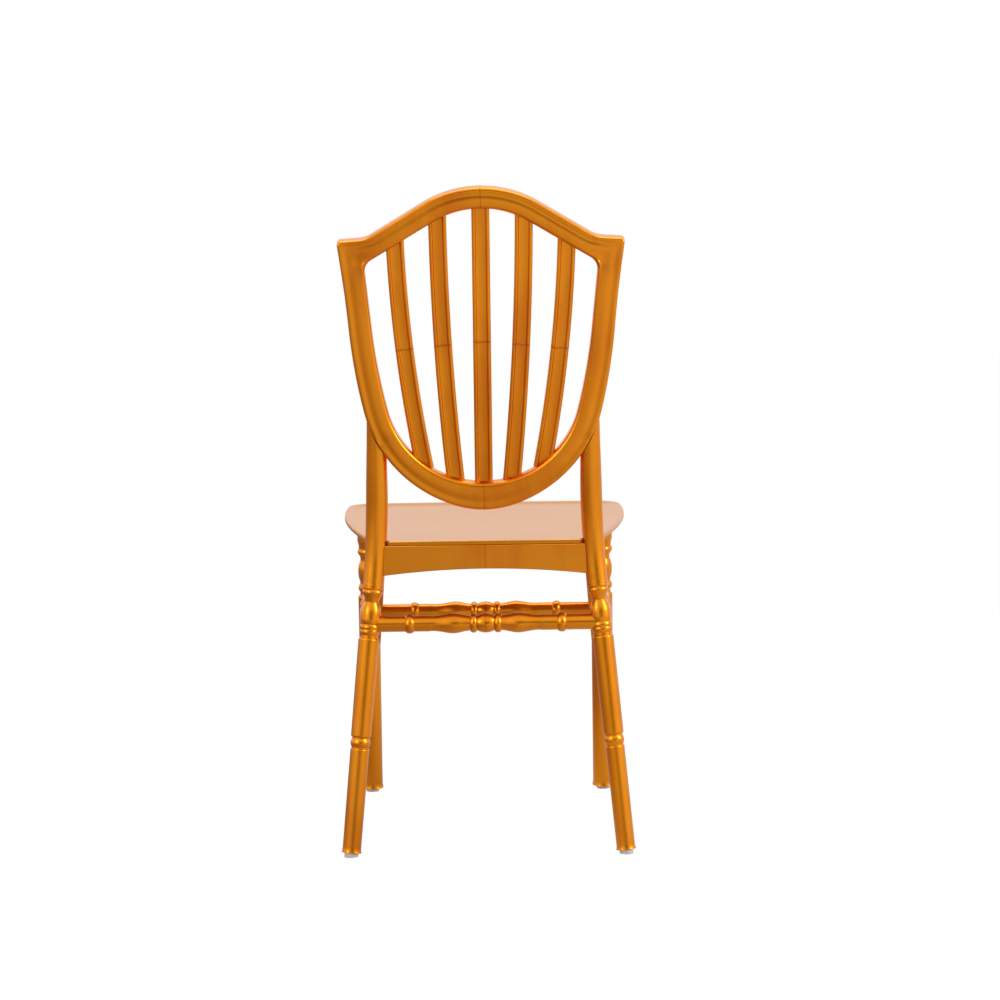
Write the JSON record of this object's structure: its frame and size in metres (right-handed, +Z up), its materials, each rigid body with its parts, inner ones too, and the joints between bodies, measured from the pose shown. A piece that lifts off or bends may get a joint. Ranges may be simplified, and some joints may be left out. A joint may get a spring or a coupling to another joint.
{
  "type": "chiavari dining chair",
  "caption": "Gold moulded resin banquet dining chair with a shield-shaped back of curved spindles, turned legs and stretchers, and a thin dished seat.",
  "frame": {"origin": "middle of the chair's footprint on the ground: the bottom centre of its bounding box", "axes": "+Z up, -Y to the front of the chair, +X to the sitter's left"},
  "size_m": [0.4054, 0.4776, 0.92],
  "materials": {
    "gold_resin": "satin metallic gold, moulded in",
    "seat_resin": "satin metallic gold with a fine surface, moulded in",
    "glide_plastic": "grey, moulded",
    "screw_steel": "zinc plated"
  },
  "bodies": {
    "root": {"back_frame": "gold_resin", "spindle_1": "gold_resin", "spindle_2": "gold_resin", "spindle_3": "gold_resin", "spindle_4": "gold_resin", "spindle_5": "gold_resin", "rear_leg_left": "gold_resin", "rear_leg_right": "gold_resin", "front_leg_left": "gold_resin", "front_leg_right": "gold_resin", "rear_apron": "gold_resin", "front_apron": "gold_resin", "side_apron_left": "gold_resin", "side_apron_right": "gold_resin", "rear_stretcher": "gold_resin", "front_stretcher": "gold_resin", "side_stretcher_left": "gold_resin", "side_stretcher_right": "gold_resin", "corner_block_rear_left": "gold_resin", "corner_block_rear_right": "gold_resin", "corner_block_front_left": "gold_resin", "corner_block_front_right": "gold_resin", "seat_panel": "seat_resin", "rear_glide_left": "glide_plastic", "rear_glide_right": "glide_plastic", "front_glide_left": "glide_plastic", "front_glide_right": "glide_plastic", "apron_screws": "screw_steel", "seat_screws": "screw_steel"}
  },
  "joints": []
}
